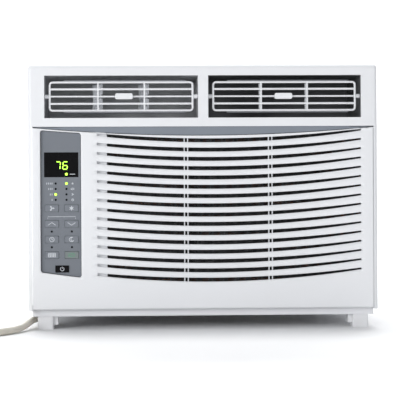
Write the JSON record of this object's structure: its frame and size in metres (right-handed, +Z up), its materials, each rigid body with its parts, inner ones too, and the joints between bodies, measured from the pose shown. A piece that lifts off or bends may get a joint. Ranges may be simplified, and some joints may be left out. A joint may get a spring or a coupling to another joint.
{
  "type": "window air conditioner",
  "caption": "Window air conditioner with a tilting louvred intake grille, two steerable vents, push buttons and a mains lead with a test plug.",
  "frame": {"origin": "on the floor under the middle of the unit, between its feet", "axes": "+Z up, -Y towards the room (the grille faces -Y), +X to the right seen from the front"},
  "size_m": [0.6742, 0.5532, 0.3654],
  "materials": {
    "white_plastic": "moulded, fine satin texture",
    "grey_trim": "satin",
    "panel_grey": "satin printed film",
    "key_grey": "satin, soft edges",
    "key_green": "satin",
    "key_black": "gloss",
    "smoked_window": "smoked gloss",
    "lamp_lens": "clear lens",
    "duct_grey": "foam-backed moulding",
    "vane_clear": "milky, slightly see-through",
    "filter_black": "woven net on a moulded frame",
    "box_plastic": "moulded",
    "foam_white": "moulded foam",
    "board_green": "lacquered board",
    "can_metal": "drawn can",
    "cabinet_paint": "powder coat",
    "zinc_steel": "zinc plated",
    "fin_aluminium": "bare fins",
    "black_paint": "gloss black",
    "copper_pipe": "drawn copper tube",
    "rubber_black": "moulded",
    "foot_white": "moulded",
    "cord_pvc": "smooth sheath",
    "plug_plastic": "moulded",
    "test_key": "moulded",
    "reset_key": "moulded",
    "blade_brass": "stamped"
  },
  "bodies": {
    "chassis": {"accent_trim": "grey_trim", "accumulator": "black_paint", "base_pan": "cabinet_paint", "blower_scroll": "foam_white", "bulkhead": "zinc_steel", "cabinet": "cabinet_paint", "cabinet_screws": "zinc_steel", "capillary_tube": "copper_pipe", "compressor": "black_paint", "compressor_grommets": "rubber_black", "condenser_coil": "fin_aluminium", "condenser_shroud": "foam_white", "control_board": "board_green", "control_box": "box_plastic", "control_overlay": "panel_grey", "cord_coil": "cord_pvc", "cord_gland": "cord_pvc", "cord_tie": "rubber_black", "discharge_duct": "duct_grey", "discharge_pipe": "copper_pipe", "display_window": "smoked_window", "drain_plug": "rubber_black", "evaporator_coil": "fin_aluminium", "fan_motor": "zinc_steel", "feet": "foot_white", "front_panel": "white_plastic", "indicator_lamps": "lamp_lens", "motor_bracket": "zinc_steel", "plug_blades": "blade_brass", "plug_body": "plug_plastic", "power_cord": "cord_pvc", "run_capacitor": "can_metal", "suction_pipe": "copper_pipe"},
    "grille": {"intake_grille": "white_plastic", "filter_frame": "filter_black", "filter_mesh": "filter_black"},
    "fan_key": {"fan_button": "key_grey"},
    "mode_key": {"mode_button": "key_grey"},
    "up_key": {"up_button": "key_grey"},
    "down_key": {"down_button": "key_grey"},
    "timer_key": {"timer_button": "key_grey"},
    "sleep_key": {"sleep_button": "key_grey"},
    "filter_key": {"filter_button": "key_grey"},
    "eco_key": {"eco_button": "key_green"},
    "power_key": {"power_button": "key_black"},
    "louver_left_frame": {"louver_left": "white_plastic"},
    "louver_left_slider": {"louver_tab_left": "white_plastic", "vane_link_left": "vane_clear"},
    "vane_left_outer_body": {"vane_left_outer": "vane_clear"},
    "vane_left_inner_body": {"vane_left_inner": "vane_clear"},
    "louver_right_frame": {"louver_right": "white_plastic"},
    "louver_right_slider": {"louver_tab_right": "white_plastic", "vane_link_right": "vane_clear"},
    "vane_right_outer_body": {"vane_right_outer": "vane_clear"},
    "vane_right_inner_body": {"vane_right_inner": "vane_clear"},
    "rotor": {"fan_shaft": "zinc_steel", "blower_wheel": "box_plastic", "condenser_fan": "box_plastic"},
    "plug_test_key": {"plug_test_button": "test_key"},
    "plug_reset_key": {"plug_reset_button": "reset_key"}
  },
  "joints": [
    {"name": "grille_tilt", "type": "hinge", "parent": "chassis", "child": "grille", "pos_m": [0, -0.192, 0.033], "axis": [1, 0, 0], "range_deg": [0, 60]},
    {"name": "fan_press", "type": "slide", "parent": "chassis", "child": "fan_key", "axis": [0, 1, 0], "range_m": [0, 0.0008], "stiffness_N_per_m": 800, "springref_m": -0.0008},
    {"name": "mode_press", "type": "slide", "parent": "chassis", "child": "mode_key", "axis": [0, 1, 0], "range_m": [0, 0.0008], "stiffness_N_per_m": 800, "springref_m": -0.0008},
    {"name": "up_press", "type": "slide", "parent": "chassis", "child": "up_key", "axis": [0, 1, 0], "range_m": [0, 0.0008], "stiffness_N_per_m": 800, "springref_m": -0.0008},
    {"name": "down_press", "type": "slide", "parent": "chassis", "child": "down_key", "axis": [0, 1, 0], "range_m": [0, 0.0008], "stiffness_N_per_m": 800, "springref_m": -0.0008},
    {"name": "timer_press", "type": "slide", "parent": "chassis", "child": "timer_key", "axis": [0, 1, 0], "range_m": [0, 0.0008], "stiffness_N_per_m": 800, "springref_m": -0.0008},
    {"name": "sleep_press", "type": "slide", "parent": "chassis", "child": "sleep_key", "axis": [0, 1, 0], "range_m": [0, 0.0008], "stiffness_N_per_m": 800, "springref_m": -0.0008},
    {"name": "filter_press", "type": "slide", "parent": "chassis", "child": "filter_key", "axis": [0, 1, 0], "range_m": [0, 0.0008], "stiffness_N_per_m": 800, "springref_m": -0.0008},
    {"name": "eco_press", "type": "slide", "parent": "chassis", "child": "eco_key", "axis": [0, 1, 0], "range_m": [0, 0.0008], "stiffness_N_per_m": 800, "springref_m": -0.0008},
    {"name": "power_press", "type": "slide", "parent": "chassis", "child": "power_key", "axis": [0, 1, 0], "range_m": [0, 0.0008], "stiffness_N_per_m": 800, "springref_m": -0.0008},
    {"name": "louver_left_tilt", "type": "hinge", "parent": "chassis", "child": "louver_left_frame", "pos_m": [-0.11275, -0.191, 0.3215], "axis": [1, 0, 0], "range_deg": [-20, 20]},
    {"name": "vane_left_slide", "type": "slide", "parent": "louver_left_frame", "child": "louver_left_slider", "axis": [1, 0, 0], "range_m": [-0.00785, 0.00065]},
    {"name": "vane_left_outer_turn", "type": "hinge", "parent": "louver_left_frame", "child": "vane_left_outer_body", "pos_m": [-0.14475, -0.178, 0.3215], "axis": [0, 0, 1], "range_deg": [-64.4, 5.5]},
    {"name": "vane_left_inner_turn", "type": "hinge", "parent": "louver_left_frame", "child": "vane_left_inner_body", "pos_m": [-0.08075, -0.178, 0.3215], "axis": [0, 0, 1], "range_deg": [-64.4, 5.5]},
    {"name": "louver_right_tilt", "type": "hinge", "parent": "chassis", "child": "louver_right_frame", "pos_m": [0.11275, -0.191, 0.3215], "axis": [1, 0, 0], "range_deg": [-20, 20]},
    {"name": "vane_right_slide", "type": "slide", "parent": "louver_right_frame", "child": "louver_right_slider", "axis": [1, 0, 0], "range_m": [-0.00295, 0.00555]},
    {"name": "vane_right_outer_turn", "type": "hinge", "parent": "louver_right_frame", "child": "vane_right_outer_body", "pos_m": [0.14475, -0.178, 0.3215], "axis": [0, 0, 1], "range_deg": [-24.3, 45.6]},
    {"name": "vane_right_inner_turn", "type": "hinge", "parent": "louver_right_frame", "child": "vane_right_inner_body", "pos_m": [0.08075, -0.178, 0.3215], "axis": [0, 0, 1], "range_deg": [-24.3, 45.6]},
    {"name": "fan_spin", "type": "hinge", "parent": "chassis", "child": "rotor", "pos_m": [0.04, 0, 0.16], "axis": [0, 1, 0], "continuous": true},
    {"name": "plug_test_press", "type": "slide", "parent": "chassis", "child": "plug_test_key", "axis": [0, 0, -1], "range_m": [0, 0.001], "stiffness_N_per_m": 800, "springref_m": -0.001},
    {"name": "plug_reset_press", "type": "slide", "parent": "chassis", "child": "plug_reset_key", "axis": [0, 0, -1], "range_m": [0, 0.001], "stiffness_N_per_m": 800, "springref_m": -0.001}
  ],
  "couplings": [
    {"joint": "vane_left_outer_turn", "follows": "vane_left_slide", "rad_per_m": 142.86},
    {"joint": "vane_left_inner_turn", "follows": "vane_left_slide", "rad_per_m": 142.86},
    {"joint": "vane_right_outer_turn", "follows": "vane_right_slide", "rad_per_m": 142.86},
    {"joint": "vane_right_inner_turn", "follows": "vane_right_slide", "rad_per_m": 142.86}
  ]
}
